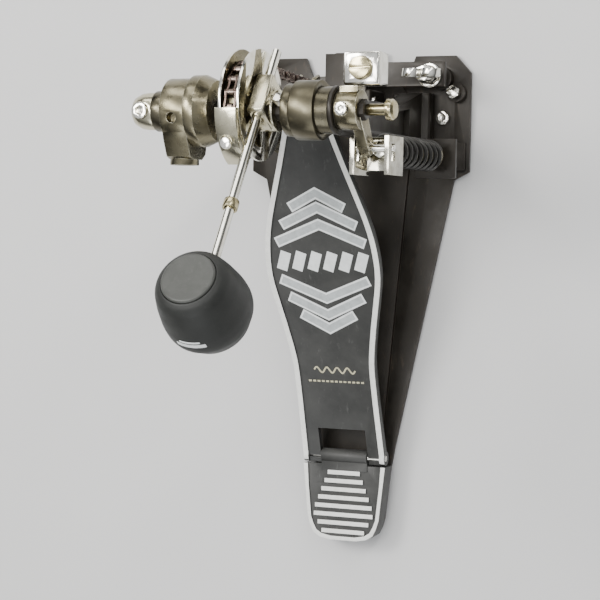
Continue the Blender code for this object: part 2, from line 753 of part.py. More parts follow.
def make_beater(frame):
    node(
        "beater_rod",
        "chrome",
        rod("Z", (ROD_X, ROD_OFFSET), ROD_RADIUS, ROD_TAIL, HEAD_ALONG - 6, sides=24),
        frame=frame,
    )
    node(
        "memory_collar",
        "brass",
        rod("Z", (ROD_X, ROD_OFFSET), 4.6, COLLAR_ALONG - 3, COLLAR_ALONG + 3, sides=24),
        cut=[rod("Z", (ROD_X, ROD_OFFSET), ROD_RADIUS + GAP, 0, 120, sides=24)],
        frame=frame,
    )
    centre = (ROD_X, ROD_OFFSET, HEAD_ALONG)
    head = [
        (0, -27), (17, -27), (20, -25.6), (26, -14.5), (26.8, -10.5), (26.6, -4), (24.6, 8), (22.2, 17),
        (20, 20.8), (16.4, 23.2), (16.4, 20.5), (0, 20.5),
    ]
    node(
        "beater_head",
        "beater_felt",
        turned("Y", centre, head),
        cut=[rod("Z", (ROD_X, ROD_OFFSET), ROD_RADIUS + GAP, HEAD_ALONG - 40, HEAD_ALONG - 5, sides=24)],
        frame=frame,
    )
    face = [(0, 20.8), (16.0, 20.8), (16.0, 23.0), (14.8, 24.2), (0, 24.2)]
    node("beater_face", "beater_plastic", turned("Y", centre, face), frame=frame)


# ---- spring side ----


def make_rocker():
    pin = (SPRING_Y, ARM_PIN_Z)
    arm = along_line(AXLE, pin, [(0, -6), (ARM_RADIUS, -4.4), (ARM_RADIUS, 4.4), (0, 6)])
    node(
        "rocker",
        "aged_nickel",
        rod("X", AXLE, 12.0, 60.2, 74.0, sides=40),
        joined=[
            outline_solid("X", arm, 68.0, 74.5),
            rod("X", pin, 4.4, 68.0, 74.5, sides=24),
            box((62, 73), (5, 13.8), (AXLE_Z - 6, AXLE_Z + 6)),
        ],
        cut=[
            hex_bore(50, 90),
            rod("X", pin, 2.4, 60, 80, sides=20),
            rod("Z", (65.5, 0), 4.2, AXLE_Z + 7.8, AXLE_Z + 20, sides=24),
        ],
        axis_at=(0.0, *AXLE),
    )
    node(
        "rocker_set_screw",
        "chrome",
        rod("Z", (65.5, 0), 3.8, AXLE_Z + 8.2, AXLE_Z + 14.0, sides=24),
        cut=[rod("Z", (65.5, 0), 2.0, AXLE_Z + 11.5, AXLE_Z + 20, sides=6)],
        axis_at=(0.0, *AXLE),
    )
    node("rocker_pin", "chrome", rod("X", pin, 2.1, 62.5, 89.5, sides=20), axis_at=(0.0, *AXLE))
    block_y = 24.0
    slot = box((SPRING_X - 10, SPRING_X + 10), (block_y - 0.8, block_y + 0.8), (AXLE_Z + 11.2, AXLE_Z + 20))
    node(
        "rocker_block",
        "chrome",
        box((64.5, 87.5), (14.1, 34.0), (AXLE_Z - 8, AXLE_Z + 8), bevel=1.0),
        cut=[rod("Z", (SPRING_X, block_y), 3.3, AXLE_Z - 5, AXLE_Z + 20, sides=20)],
        axis_at=(0.0, *AXLE),
    )
    node(
        "block_screw",
        "brass",
        rod("Z", (SPRING_X, block_y), 3.0, AXLE_Z - 4, AXLE_Z + 9.5, sides=20),
        joined=[rod("Z", (SPRING_X, block_y), 7.25, AXLE_Z + 8.4, AXLE_Z + 12.5, sides=36, top_radius=6.4)],
        cut=[slot],
        axis_at=(0.0, *AXLE),
    )


def make_stirrup():
    front, back = -14.5, -38.0
    walls = [box((x, x + 3.0), (back, front), (SPRING_TOP, 192.0)) for x in (63.5, 85.5)]
    slot = box((60, 95), (SPRING_Y - 7.6, SPRING_Y + 2.7), (ARM_PIN_Z - 3, ARM_PIN_Z + 3))
    hole = rod("Z", (SPRING_X, SPRING_Y), 2.8, SPRING_TOP - 5, SPRING_TOP + 10, sides=20)
    place = (SPRING_X, SPRING_Y, SPRING_TOP)
    node(
        "stirrup",
        "chrome",
        box((63.5, 88.5), (back + 3, front), (SPRING_TOP, SPRING_TOP + 3.5)),
        joined=walls,
        cut=[slot, hole],
        axis_at=place,
    )
    node(
        "stirrup_nut",
        "chrome",
        rod("Z", (SPRING_X, SPRING_Y), 5.2, SPRING_TOP + 3.5 + GAP, SPRING_TOP + 8.5, sides=6),
        joined=[rod("Z", (SPRING_X, SPRING_Y), 2.4, SPRING_TOP + 0.3, SPRING_TOP + 10.5, sides=16)],
        axis_at=place,
    )


def make_spring():
    curve = bpy.data.curves.new("spring", "CURVE")
    curve.dimensions = "3D"
    curve.bevel_depth = 1.3 * MM
    curve.bevel_resolution = 2
    curve.use_fill_caps = True
    curve.render_resolution_u = 0
    spline = curve.splines.new("POLY")
    per_turn = 12
    count = SPRING_TURNS * per_turn + 1
    spline.points.add(count - 1)
    low, high = SPRING_BOTTOM + 1.7, SPRING_TOP - 1.7
    for index, point in enumerate(spline.points):
        angle = 2 * math.pi * index / per_turn
        x = SPRING_X + SPRING_RADIUS * math.cos(angle)
        y = SPRING_Y + SPRING_RADIUS * math.sin(angle)
        z = low + (high - low) * index / (count - 1)
        point.co = (x * MM, y * MM, z * MM, 1.0)
    spring = bpy.data.objects.new("spring", curve)
    curve.materials.append(material("spring_steel"))
    PARTS.objects.link(spring)


def make_spring_anchor():
    node(
        "spring_bracket",
        "dark_steel",
        box((60, 64), (-32, -10), (PLATE_TOP + GAP, 60)),
        joined=[
            box((60, 88), (-36, -10), (56, 60)),
            box((60, 79), (-29, -10), (PLATE_TOP + GAP, 9)),
        ],
        cut=[rod("Z", (SPRING_X, SPRING_Y), 3.4, 50, 70, sides=20)],
    )
    node(
        "tension_rod",
        "aged_nickel",
        rod("Z", (SPRING_X, SPRING_Y), 3.0, 36, 75, sides=20),
        joined=[rod("Z", (SPRING_X, SPRING_Y), 8.5, 74, SPRING_BOTTOM, sides=32)],
    )
    node(
        "tension_nut",
        "aged_nickel",
        rod("Z", (SPRING_X, SPRING_Y), 8.0, 49, 56 - GAP, sides=6),
        cut=[rod("Z", (SPRING_X, SPRING_Y), 3.3, 40, 60, sides=20)],
        axis_at=(SPRING_X, SPRING_Y, 50),
    )


# ---- hoop clamp and spurs ----


def make_clamp():
    hinge = (CLAMP_PIVOT_Y, CLAMP_PIVOT_Z)
    ear_height = (RAISED_TOP + GAP, CLAMP_PIVOT_Z + 6)
    ears = [box((x, x + 4), (11, 25), ear_height, bevel=0.8) for x in (-19.5, 15.5)]
    node(
        "clamp_bracket",
        "dark_steel",
        box((-19, 19), (11, 25), (RAISED_TOP + GAP, 12)),
        joined=ears,
        cut=[rod("X", hinge, 2.5, -30, 30, sides=20)],
    )
    node("clamp_pin", "chrome", rod("X", hinge, 2.2, -21, 21, sides=20))
    node(
        "clamp_lower_jaw",
        "dark_steel",
        box((-18, 18), (33.4, 53), (PLATE_TOP + GAP, 10), bevel=0.8),
    )
    node("clamp_lower_pad", "rubber", box((-15, 15), (38, 52), (10 + GAP, 12.3)))
    node(
        "clamp_upper_jaw",
        "dark_steel",
        rod("X", hinge, 5.0, -15, 15, sides=28),
        joined=[
            box((-15, 15), (19, 50), (29, 34)),
            box((-15, 15), (41, 50), (24, 31)),
            box((10, 71), (27, 43.5), (29, 34)),
        ],
        cut=[
            rod("X", hinge, 2.5, -30, 30, sides=20),
            rod("Z", (WING_X, WING_Y), 5.8, 20, 40, sides=28),
        ],
        axis_at=(0.0, *hinge),
    )
    node("clamp_upper_pad", "rubber", box((-14, 14), (42, 49.5), (21.6, 24 - GAP)), axis_at=(0.0, *hinge))
    node(
        "wing_washer",
        "chrome",
        rod("Z", (WING_X, WING_Y), 8.2, 34 + GAP, 36, sides=32),
        cut=[rod("Z", (WING_X, WING_Y), 5.8, 30, 40, sides=28)],
        axis_at=(0.0, *hinge),
    )
    wings = [rod("Y", (WING_X + x, 54.0), 6.9, WING_Y - 2.9, WING_Y + 2.9, sides=28) for x in (-6.6, 6.6)]
    node(
        "wing_bolt",
        "chrome",
        rod("Z", (WING_X, WING_Y), 3.5, 7, 46, sides=20),
        joined=[rod("Z", (WING_X, WING_Y), 6.5, 43, 52, sides=28, top_radius=5.0), *wings],
        axis_at=(WING_X, WING_Y, 7),
    )


def make_spurs():
    for side, sign in (("left", -1), ("right", 1)):
        place = (sign * SPUR_X, SPUR_Y)
        node(
            f"{side}_spur",
            "chrome",
            rod("Z", place, 2.9, 2.6, 15, sides=20),
            joined=[
                rod("Z", place, 0.6, 0.6, 2.7, sides=20, top_radius=2.9),
                rod("Z", place, 4.6, 14, 19, sides=6),
            ],
            axis_at=(*place, 0),
        )


def make_pedal():
    board = pivot("footboard_pivot", (0, HINGE_Y, HINGE_Z), BOARD_SLOPE)
    axle = pivot("axle_pivot", (0, *AXLE), BEATER_LEAN)
    make_base()
    make_left_post()
    make_right_post()
    make_bearings()
    make_heel()
    make_footboard(board)
    make_toe_clevis(board)
    make_strand()
    for number in range(1, LINK_COUNT + 1):
        make_link(number)
    make_cam_chain()
    make_cam()
    make_axle(axle)
    make_cap_screw()
    make_beater_hub(axle)
    make_beater(axle)
    make_rocker()
    make_stirrup()
    make_spring()
    make_spring_anchor()
    make_clamp()
    make_spurs()


make_pedal()
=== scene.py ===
"""Looks of the bass drum pedal: materials, chain, spring, beater, paint and graphics, light and camera."""

import json
import math

import bpy
import bmesh
from mathutils import Matrix, Vector

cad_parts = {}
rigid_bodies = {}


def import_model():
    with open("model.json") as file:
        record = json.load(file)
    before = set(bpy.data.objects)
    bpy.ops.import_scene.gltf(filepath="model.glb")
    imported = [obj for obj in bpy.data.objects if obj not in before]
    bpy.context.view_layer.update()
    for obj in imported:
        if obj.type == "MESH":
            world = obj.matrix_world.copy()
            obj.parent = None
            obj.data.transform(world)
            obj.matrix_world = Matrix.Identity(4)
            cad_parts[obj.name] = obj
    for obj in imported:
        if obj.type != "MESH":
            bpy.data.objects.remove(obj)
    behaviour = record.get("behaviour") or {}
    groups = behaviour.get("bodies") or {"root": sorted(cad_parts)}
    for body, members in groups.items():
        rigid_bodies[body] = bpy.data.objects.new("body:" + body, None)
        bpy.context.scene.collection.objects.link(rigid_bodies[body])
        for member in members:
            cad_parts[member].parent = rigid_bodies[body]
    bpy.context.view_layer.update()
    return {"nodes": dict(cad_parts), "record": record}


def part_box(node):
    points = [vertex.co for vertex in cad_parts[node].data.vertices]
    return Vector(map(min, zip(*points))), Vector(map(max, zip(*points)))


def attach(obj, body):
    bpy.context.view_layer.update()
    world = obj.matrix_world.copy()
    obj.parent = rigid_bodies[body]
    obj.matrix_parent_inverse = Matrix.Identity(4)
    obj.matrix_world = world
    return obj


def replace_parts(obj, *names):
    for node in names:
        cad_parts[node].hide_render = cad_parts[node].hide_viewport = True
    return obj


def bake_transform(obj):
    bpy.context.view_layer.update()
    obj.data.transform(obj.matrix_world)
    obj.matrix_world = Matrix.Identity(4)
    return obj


for leftover in list(bpy.data.objects):
    bpy.data.objects.remove(leftover)

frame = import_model()
NODES = frame["nodes"]
JOINTS = {joint["name"]: joint for joint in frame["record"]["behaviour"]["joints"]}
MM = 0.001
AXLE = Vector(JOINTS["axle_turn"]["pos_m"])
HINGE = Vector(JOINTS["footboard_hinge"]["pos_m"])
ROD_AXIS = Vector(JOINTS["beater_height"]["axis"]).normalized()
BOARD_SLOPE = math.radians(19.6)
BOARD = Matrix.Translation(HINGE) @ Matrix.Rotation(BOARD_SLOPE, 4, "X")
POCKET_FLOOR = 2.5 * MM  # this and the next are heights in BOARD, whose origin is the hinge
RIM_TOP = 4.0 * MM
HEEL_RIM_TOP = 23.6 * MM  # height above the floor
CAM_RIM_RADIUS = 29.5 * MM  # faces of the cam beyond this get a near-white plate, partly the rim's polish and partly a painted highlight
PAINT_SLACK = 0.05 * MM  # how far a corner may be from a painted plane


# ---- node materials ----


class Look:
    """A material and short ways to add the nodes that colour, roughen and dent it."""

    def __init__(self, name, metallic=0.0, roughness=0.5, specular=0.5):
        self.material = bpy.data.materials.new(name)
        self.material.use_nodes = True
        self.tree = self.material.node_tree
        self.shader = self.tree.nodes["Principled BSDF"]
        self.shader.inputs["Metallic"].default_value = metallic
        self.shader.inputs["Roughness"].default_value = roughness
        self.shader.inputs["Specular IOR Level"].default_value = specular
        self.place = self.tree.nodes.new("ShaderNodeTexCoord").outputs["Object"]
        self.dent = None

    def add(self, kind, **inputs):
        made = self.tree.nodes.new(kind)
        for key, value in inputs.items():
            socket = made.inputs[key.replace("_", " ")]
            if isinstance(value, bpy.types.NodeSocket):
                self.tree.links.new(value, socket)
            else:
                socket.default_value = value
        return made

    def stretched(self, scale):
        return self.add("ShaderNodeMapping", Vector=self.place, Scale=scale).outputs["Vector"]

    def noise(self, scale, detail=4.0, roughness=0.6, place=None):
        made = self.add(
            "ShaderNodeTexNoise", Vector=place or self.place, Scale=scale, Detail=detail, Roughness=roughness
        )
        return made.outputs["Fac"]

    def spread(self, value, low, high, to_low=0.0, to_high=1.0):
        made = self.add("ShaderNodeMapRange")
        self.tree.links.new(value, made.inputs["Value"])
        for name, number in zip(("From Min", "From Max", "To Min", "To Max"), (low, high, to_low, to_high)):
            made.inputs[name].default_value = number
        return made.outputs["Result"]

    def maths(self, operation, first, second):
        made = self.add("ShaderNodeMath")
        made.operation = operation
        for socket, value in zip(made.inputs, (first, second)):
            if isinstance(value, bpy.types.NodeSocket):
                self.tree.links.new(value, socket)
            else:
                socket.default_value = value
        return made.outputs["Value"]

    def mix(self, amount, first, second):
        made = self.add("ShaderNodeMix")
        made.data_type = "RGBA"
        for socket, value in zip((made.inputs[0], made.inputs[6], made.inputs[7]), (amount, first, second)):
            if isinstance(value, bpy.types.NodeSocket):
                self.tree.links.new(value, socket)
            else:
                socket.default_value = (*value, 1.0)
        return made.outputs[2]

    def edges(self, radius):
        """High on convex and concave edges, from how far a rounded normal leans from the true one."""
        soft = self.add("ShaderNodeBevel", Radius=radius)
        soft.samples = 4
        true = self.add("ShaderNodeNewGeometry").outputs["Normal"]
        lean = self.add("ShaderNodeVectorMath")
        lean.operation = "DOT_PRODUCT"
        self.tree.links.new(soft.outputs["Normal"], lean.inputs[0])
        self.tree.links.new(true, lean.inputs[1])
        return self.spread(lean.outputs["Value"], 0.99, 0.80)

    def colour(self, value):
        self.tree.links.new(value, self.shader.inputs["Base Color"])

    def rough(self, value):
        self.tree.links.new(value, self.shader.inputs["Roughness"])

    def bump(self, height, strength, distance):
        made = self.add("ShaderNodeBump", Height=height, Strength=strength, Distance=distance)
        if self.dent:
            self.tree.links.new(self.dent, made.inputs["Normal"])
        self.dent = made.outputs["Normal"]
        self.tree.links.new(self.dent, self.shader.inputs["Normal"])


def cast_metal(name, light, dark, edge, smooth=0.2, coarse=0.42):
    """Plated casting: cloudy tarnish, a fine orange-peel surface and edges lightened as a painted highlight."""
    look = Look(name, metallic=1.0)
    cloud = look.spread(look.noise(60.0, 5.0, 0.6), 0.34, 0.74)
    stain = look.spread(look.noise(420.0, 5.0, 0.7), 0.60, 0.78)
    base = look.mix(cloud, light, dark)
    base = look.mix(look.maths("MULTIPLY", stain, 0.38), base, tuple(0.5 * c for c in dark))
    # painted highlight: edges and creases lightened towards the edge colour
    look.colour(look.mix(look.maths("MULTIPLY", look.edges(0.7 * MM), 0.8), base, edge))
    look.rough(look.spread(look.noise(160.0, 4.0), 0.3, 0.7, smooth, coarse))
    look.bump(look.noise(900.0, 3.0), 0.18, 0.2 * MM)
    return look.material


def casting_dark_below(name, shaded_head, stain, paint, low, high):
    """Casting with a plated head that turns darker and less metallic below a ragged line across its leg."""
    look = Look(name)
    split = look.add("ShaderNodeSeparateXYZ", Vector=look.place).outputs["Z"]
    ragged = look.maths("ADD", split, look.maths("MULTIPLY", look.noise(90.0), 12 * MM))
    above_line = look.spread(ragged, low, high)
    cloud = look.noise(60.0, 5.0, 0.6)
    plated = look.mix(look.spread(cloud, 0.34, 0.74), shaded_head, stain)
    # darker below the ragged line, the head's colour above it
    look.colour(look.mix(above_line, paint, plated))
    look.tree.links.new(look.spread(above_line, 0.0, 1.0, 0.3, 1.0), look.shader.inputs["Metallic"])
    look.rough(look.spread(cloud, 0.3, 0.7, 0.26, 0.46))
    look.bump(look.noise(900.0, 3.0), 0.18, 0.2 * MM)
    return look.material


def bright_plate(name, light, dark):
    """Polished plating with hairline scratches, smudges and a few pits."""
    look = Look(name, metallic=1.0)
    smudge = look.noise(140.0, 5.0, 0.6)
    pits = look.add("ShaderNodeTexVoronoi", Vector=look.place, Scale=900.0).outputs["Distance"]
    pit = look.spread(pits, 0.16, 0.10)
    base = look.mix(look.spread(smudge, 0.42, 0.72), light, dark)
    look.colour(look.mix(look.maths("MULTIPLY", pit, 0.7), base, tuple(0.25 * c for c in dark)))
    look.rough(look.spread(smudge, 0.3, 0.75, 0.07, 0.22))
    look.bump(look.noise(1.0, 2.0, place=look.stretched((2600.0, 260.0, 260.0))), 0.05, 0.05 * MM)
    return look.material


def worn_paint(name, paint, under, metallic, low, high, edge_wear_and_highlight=0.55):
    """Paint with a fine texture, dull and glossy patches, scuffs, and edges lightened, partly worn through and
    partly a painted highlight.
    """
    look = Look(name, metallic=metallic)
    patch = look.noise(45.0, 6.0, 0.7)
    scuff = look.spread(look.noise(1.0, 5.0, 0.7, look.stretched((260.0, 60.0, 260.0))), 0.60, 0.74)
    # edges lightened towards the under colour: partly wear, partly a painted highlight
    rubbed_and_highlit = look.maths("MULTIPLY", look.edges(0.6 * MM), look.spread(look.noise(230.0, 4.0), 0.35, 0.6))
    worn_and_highlit = look.maths("MULTIPLY", rubbed_and_highlit, edge_wear_and_highlight)
    dull, fresh = (tuple(share * c for c in paint) for share in (0.72, 1.3))
    shade = look.mix(look.spread(patch, 0.3, 0.7), dull, fresh)
    shade = look.mix(look.maths("MULTIPLY", scuff, 0.28), shade, under)
    look.colour(look.mix(worn_and_highlit, shade, under))
    look.rough(look.spread(patch, 0.3, 0.7, low, high))
    look.bump(look.noise(1500.0, 2.0), 0.22, 0.1 * MM)
    look.bump(scuff, 0.10, 0.05 * MM)
    return look.material


def soft_surface(name, shade, low, high, grain=700.0, depth=0.3, specular=0.4):
    """Rubber or dense foam: matte, with fine grain and slight mottling."""
    look = Look(name, specular=specular)
    mottle = look.noise(110.0, 6.0, 0.7)
    dust = look.spread(look.noise(380.0, 4.0), 0.58, 0.8)
    darker, lighter = (tuple(share * c for c in shade) for share in (0.8, 1.2))
    base = look.mix(look.spread(mottle, 0.3, 0.7), darker, lighter)
    dusty = tuple(min(1.0, 3.0 * c) for c in shade)
    look.colour(look.mix(look.maths("MULTIPLY", dust, 0.18), base, dusty))
    look.rough(look.spread(mottle, 0.3, 0.7, low, high))
    look.bump(look.noise(grain, 4.0), depth, 0.12 * MM)
    return look.material


def printed(name, shade, faded):
    """Screen-printed paint, a little faded and rubbed."""
    look = Look(name, specular=0.4)
    fade = look.noise(240.0, 6.0, 0.75)
    nick = look.spread(look.noise(900.0, 3.0), 0.66, 0.74)
    base = look.mix(look.spread(fade, 0.4, 0.7), shade, faded)
    look.colour(look.mix(look.maths("MULTIPLY", nick, 0.5), base, tuple(0.35 * c for c in faded)))
    look.rough(look.spread(fade, 0.3, 0.7, 0.35, 0.55))
    look.bump(look.noise(1300.0, 2.0), 0.12, 0.06 * MM)
    return look.material


# (maker, name, its values); colours are linear (red, green, blue); a cast_metal's third colour is a painted
# highlight along its edges
LOOK_TABLE = (
    (cast_metal, "aged_nickel", (0.29, 0.262, 0.178), (0.13, 0.113, 0.068), (0.88, 0.85, 0.70), 0.2, 0.36),
    # a copy of aged_nickel darkened as painted shade, for parts that sit in shadow
    (cast_metal, "dark_nickel", (0.15, 0.136, 0.096), (0.07, 0.062, 0.040), (0.50, 0.47, 0.37), 0.22, 0.4),
    (bright_plate, "chrome", (0.90, 0.88, 0.81), (0.62, 0.60, 0.53)),
    (bright_plate, "dull_chrome", (0.56, 0.54, 0.46), (0.26, 0.24, 0.19)),
    # near-white plate; on the cam's rim it is partly polish and partly a painted highlight
    (bright_plate, "rim_bright", (0.95, 0.93, 0.84), (0.76, 0.73, 0.62)),
    (cast_metal, "anchor_nickel", (0.70, 0.66, 0.50), (0.50, 0.46, 0.33), (0.96, 0.93, 0.80), 0.16, 0.3),
    # the right post: nickel head darkened as painted shade, darker still below a ragged line at 178 to 184 mm
    (casting_dark_below, "dipped_post", (0.16, 0.145, 0.10), (0.08, 0.07, 0.046), (0.022, 0.018, 0.013),
     178 * MM, 184 * MM),
    (cast_metal, "brass", (0.62, 0.55, 0.34), (0.36, 0.31, 0.17), (0.88, 0.82, 0.62), 0.14, 0.3),
    (worn_paint, "dark_steel", (0.022, 0.018, 0.013), (0.13, 0.09, 0.055), 0.35, 0.30, 0.55),
    (worn_paint, "black_paint", (0.044, 0.044, 0.041), (0.21, 0.21, 0.20), 0.1, 0.38, 0.56, 0.4),
    (cast_metal, "chain_steel", (0.12, 0.075, 0.06), (0.035, 0.022, 0.018), (0.34, 0.28, 0.24)),
    (cast_metal, "chain_roller", (0.30, 0.24, 0.21), (0.10, 0.07, 0.055), (0.6, 0.55, 0.5)),
    # a dark steel, darkened further as painted shade for the shadow under the pedal's body
    (cast_metal, "spring_steel", (0.085, 0.083, 0.078), (0.035, 0.033, 0.030), (0.24, 0.235, 0.22), 0.26, 0.42),
    (soft_surface, "rubber", (0.022, 0.022, 0.022), 0.75, 0.9),
    (soft_surface, "beater_felt", (0.020, 0.021, 0.019), 0.46, 0.62, 520.0, 0.35),
    (soft_surface, "beater_plastic", (0.066, 0.068, 0.062), 0.34, 0.50, 900.0, 0.2),
    (printed, "edge_paint", (0.93, 0.93, 0.89), (0.80, 0.80, 0.75)),
    (printed, "print_grey", (0.52, 0.55, 0.55), (0.38, 0.40, 0.40)),
    (printed, "print_light", (0.88, 0.90, 0.89), (0.74, 0.76, 0.75)),
    (printed, "print_cream", (0.62, 0.58, 0.40), (0.40, 0.37, 0.25)),
)
LOOKS = {name: make(name, *values) for make, name, *values in LOOK_TABLE}
SLOT_OF = {part["node"]: part["material_slot"] for part in frame["record"]["subparts"]}


# ---- CAD pieces: rounded edges and better materials ----


WELD_DISTANCE = 0.00002
FLAT_ANGLE = 0.6
BEVEL_ANGLE = 38.0
BEVEL_SEGMENTS = 2
BEVEL_WIDTH = 0.3  # millimetres, for a node that isn't in BEVEL_WIDTHS
BEVEL_WIDTHS = {
    "footboard": 0.5, "heel_plate": 0.5, "base_plate": 0.45, "left_post": 1.2, "right_post": 1.2,
    "beater_hub": 0.9, "rocker_block": 0.7, "rocker": 0.8, "left_bearing": 0.8, "right_bearing": 0.8,
    "stirrup": 0.5, "clamp_upper_jaw": 0.8, "spring_bracket": 0.6, "cam": 0.35,
}
# nodes that look different from their material slot's own look
OWN_LOOKS = {
    "chain_anchor": "anchor_nickel", "beater_hub": "anchor_nickel", "right_post": "dipped_post",
    # the right bearing and the axle collar take the nickel darkened as painted shade
    "right_bearing": "dark_nickel", "axle_collar": "dark_nickel", "axle_cap": "anchor_nickel",
    "stirrup": "dull_chrome",
}


def finish_cad(node):
    """Merges split corners and flat triangles, then rounds the edges that are left."""
    obj = NODES[node]
    obj.data.materials.clear()
    obj.data.materials.append(LOOKS[SLOT_OF[node]])
    obj.data.shade_smooth()
    weld = obj.modifiers.new("weld", "WELD")
    weld.merge_threshold = WELD_DISTANCE
    flat = obj.modifiers.new("flat", "DECIMATE")
    flat.decimate_type = "DISSOLVE"
    flat.angle_limit = math.radians(FLAT_ANGLE)
    bevel = obj.modifiers.new("bevel", "BEVEL")
    bevel.width = BEVEL_WIDTHS.get(node, BEVEL_WIDTH) * MM
    bevel.segments = BEVEL_SEGMENTS
    bevel.limit_method = "ANGLE"
    bevel.angle_limit = math.radians(BEVEL_ANGLE)
    bevel.harden_normals = True


def paint_faces(node, look, test):
    """Gives a second look to the faces of a CAD node whose every corner passes a test."""
    obj = NODES[node]
    obj.data.materials.append(LOOKS[look])
    slot = len(obj.data.materials) - 1
    for face in obj.data.polygons:
        if all(test(obj.data.vertices[index].co) for index in face.vertices):
            face.material_index = slot


def finish_all_cad(replaced):
    for node in NODES:
        if node not in replaced:
            finish_cad(node)
    to_board = BOARD.inverted()
    paint_faces("footboard", "edge_paint", lambda co: (to_board @ co).z > RIM_TOP - PAINT_SLACK)
    paint_faces("heel_plate", "edge_paint", lambda co: abs(co.z - HEEL_RIM_TOP) < PAINT_SLACK)
    # the cam's rim: near-white plate, partly its polish and partly a painted highlight
    paint_faces("cam", "rim_bright", lambda co: (Vector((0, co.y, co.z)) - AXLE).length > CAM_RIM_RADIUS)
    for node, look in OWN_LOOKS.items():
        NODES[node].data.materials[0] = LOOKS[look]


# ---- new pieces ----


def piece(name, bm, look, body, place=None, smooth_angle=35.0):
    """Turns a bmesh in metres into a named piece that rides on a body."""
    mesh = bpy.data.meshes.new(name)
    bmesh.ops.recalc_face_normals(bm, faces=bm.faces)
    bm.to_mesh(mesh)
    bm.free()
    obj = bpy.data.objects.new(name, mesh)
    bpy.context.scene.collection.objects.link(obj)
    mesh.materials.append(LOOKS[look])
    mesh.shade_smooth()
    mesh.set_sharp_from_angle(angle=math.radians(smooth_angle))
    if place is not None:
        obj.matrix_world = place
    if body:
        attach(obj, body)
    return obj


ALONG_X = Matrix.Rotation(math.radians(90), 4, "Y")


def join_rings(bm, rings):
    """Adds the faces between each ring of corners and the next."""
    for first, second in zip(rings, rings[1:]):
        for side in range(len(first)):
            after = (side + 1) % len(first)
            bm.faces.new((first[side], first[after], second[after], second[side]))


def in_metres(profile):
    return [(radius * MM, along * MM) for radius, along in profile]


def turn_profile(bm, profile, sides, place):
    """Adds a turned solid; profile holds (radius, along) in metres, and radius 0 only at its ends."""
    rings = []
    for radius, along in profile:
        if radius < 1e-7:
            rings.append([bm.verts.new(place @ Vector((0, 0, along)))])
            continue
        ring = []
        for step in range(sides):
            angle = 2 * math.pi * step / sides
            spot = Vector((radius * math.cos(angle), radius * math.sin(angle), along))
            ring.append(bm.verts.new(place @ spot))
        rings.append(ring)
    for first, second in zip(rings, rings[1:]):
        for step in range(sides):
            after = (step + 1) % sides
            corners = [first[step % len(first)], first[after % len(first)]]
            corners += [second[after % len(second)], second[step % len(second)]]
            bm.faces.new(list(dict.fromkeys(corners)))


def rounded(corners, radius, steps):
    """Rounds the inner corners of an open profile, by the same radius or as much as its legs allow."""
    result = [corners[0]]
    for before, corner, after in zip(corners, corners[1:], corners[2:]):
        a, b, c = Vector(before), Vector(corner), Vector(after)
        reach = min(radius, (a - b).length * 0.45, (c - b).length * 0.45)
        start = b + (a - b).normalized() * reach
        end = b + (c - b).normalized() * reach
        for step in range(steps + 1):
            t = step / steps
            point = start * (1 - t) ** 2 + b * 2 * t * (1 - t) + end * t ** 2
            result.append(tuple(point))
    return result + [corners[-1]]


SHARPEST_MITRE = 0.35  # keeps a sharp corner's outside from running far out


def ribbon(bm, points, width, low, high):
    """A flat strip with mitred corners; points (x, along) and width in millimetres, low and high in metres."""
    points = [Vector(point) for point in points]
    rings = []
    for index, here in enumerate(points):
        ways = []
        if index:
            ways.append((here - points[index - 1]).normalized())
        if index < len(points) - 1:
            ways.append((points[index + 1] - here).normalized())
        way = sum(ways, Vector((0, 0))).normalized()
        stretch = 1.0 / max(SHARPEST_MITRE, abs(way.dot(ways[0])))
        offset = Vector((-way.y, way.x)) * (width / 2 * stretch)
        corners = [(here + offset, low), (here - offset, low), (here - offset, high), (here + offset, high)]
        rings.append([bm.verts.new(Vector((p.x * MM, p.y * MM, z))) for p, z in corners])
    join_rings(bm, rings)
    bm.faces.new(rings[0])
    bm.faces.new(list(reversed(rings[-1])))


# the board's graphics, in millimetres across and up the board from its hinge
GRAPHIC_MIDDLE = 146.0
PRINT_BOTTOM = POCKET_FLOOR - 0.04 * MM
PRINT_TOP = POCKET_FLOOR + 0.08 * MM
FILL_TOP = PRINT_TOP + 0.04 * MM
CHEVRONS = ((13.0, 13.5, 32.0), (25.5, 13.0, 27.0), (38.0, 10.5, 19.5))  # (from the middle, reach, half width)
CHEVRON_WIDTH = 7.4
CHEVRON_EDGE = 1.3
DASH_COUNT = 6
DASH_PITCH = 11.2
DASH_WIDTH = 7.6
DASH_LEAN = 2.2
DASH_HALF = 6.4
WAVE_POINTS = 61
WAVE_START, WAVE_STEP = -15, 0.5
WAVE_MIDDLE, WAVE_HEIGHT, WAVE_TURN = 66.5, 2.0, 0.42
WAVE_WIDTH = 1.1
DOT_COUNT = 13
DOT_START, DOT_PITCH, DOT_LENGTH = -20.0, 3.2, 2.1
DOT_LINE = 58.0
DOT_WIDTH = 1.3


def add_print(outline, fill, points, width, edge):
    """A pale stroke with a darker one inside it."""
    ribbon(outline, points, width, PRINT_BOTTOM, PRINT_TOP)
    first, *between, last = map(Vector, points)
    trim = edge / (between[0] - first).length
    inner = [first.lerp(between[0], trim), *between, last.lerp(between[-1], trim)]
    ribbon(fill, inner, width - 2 * edge, PRINT_BOTTOM, FILL_TOP)


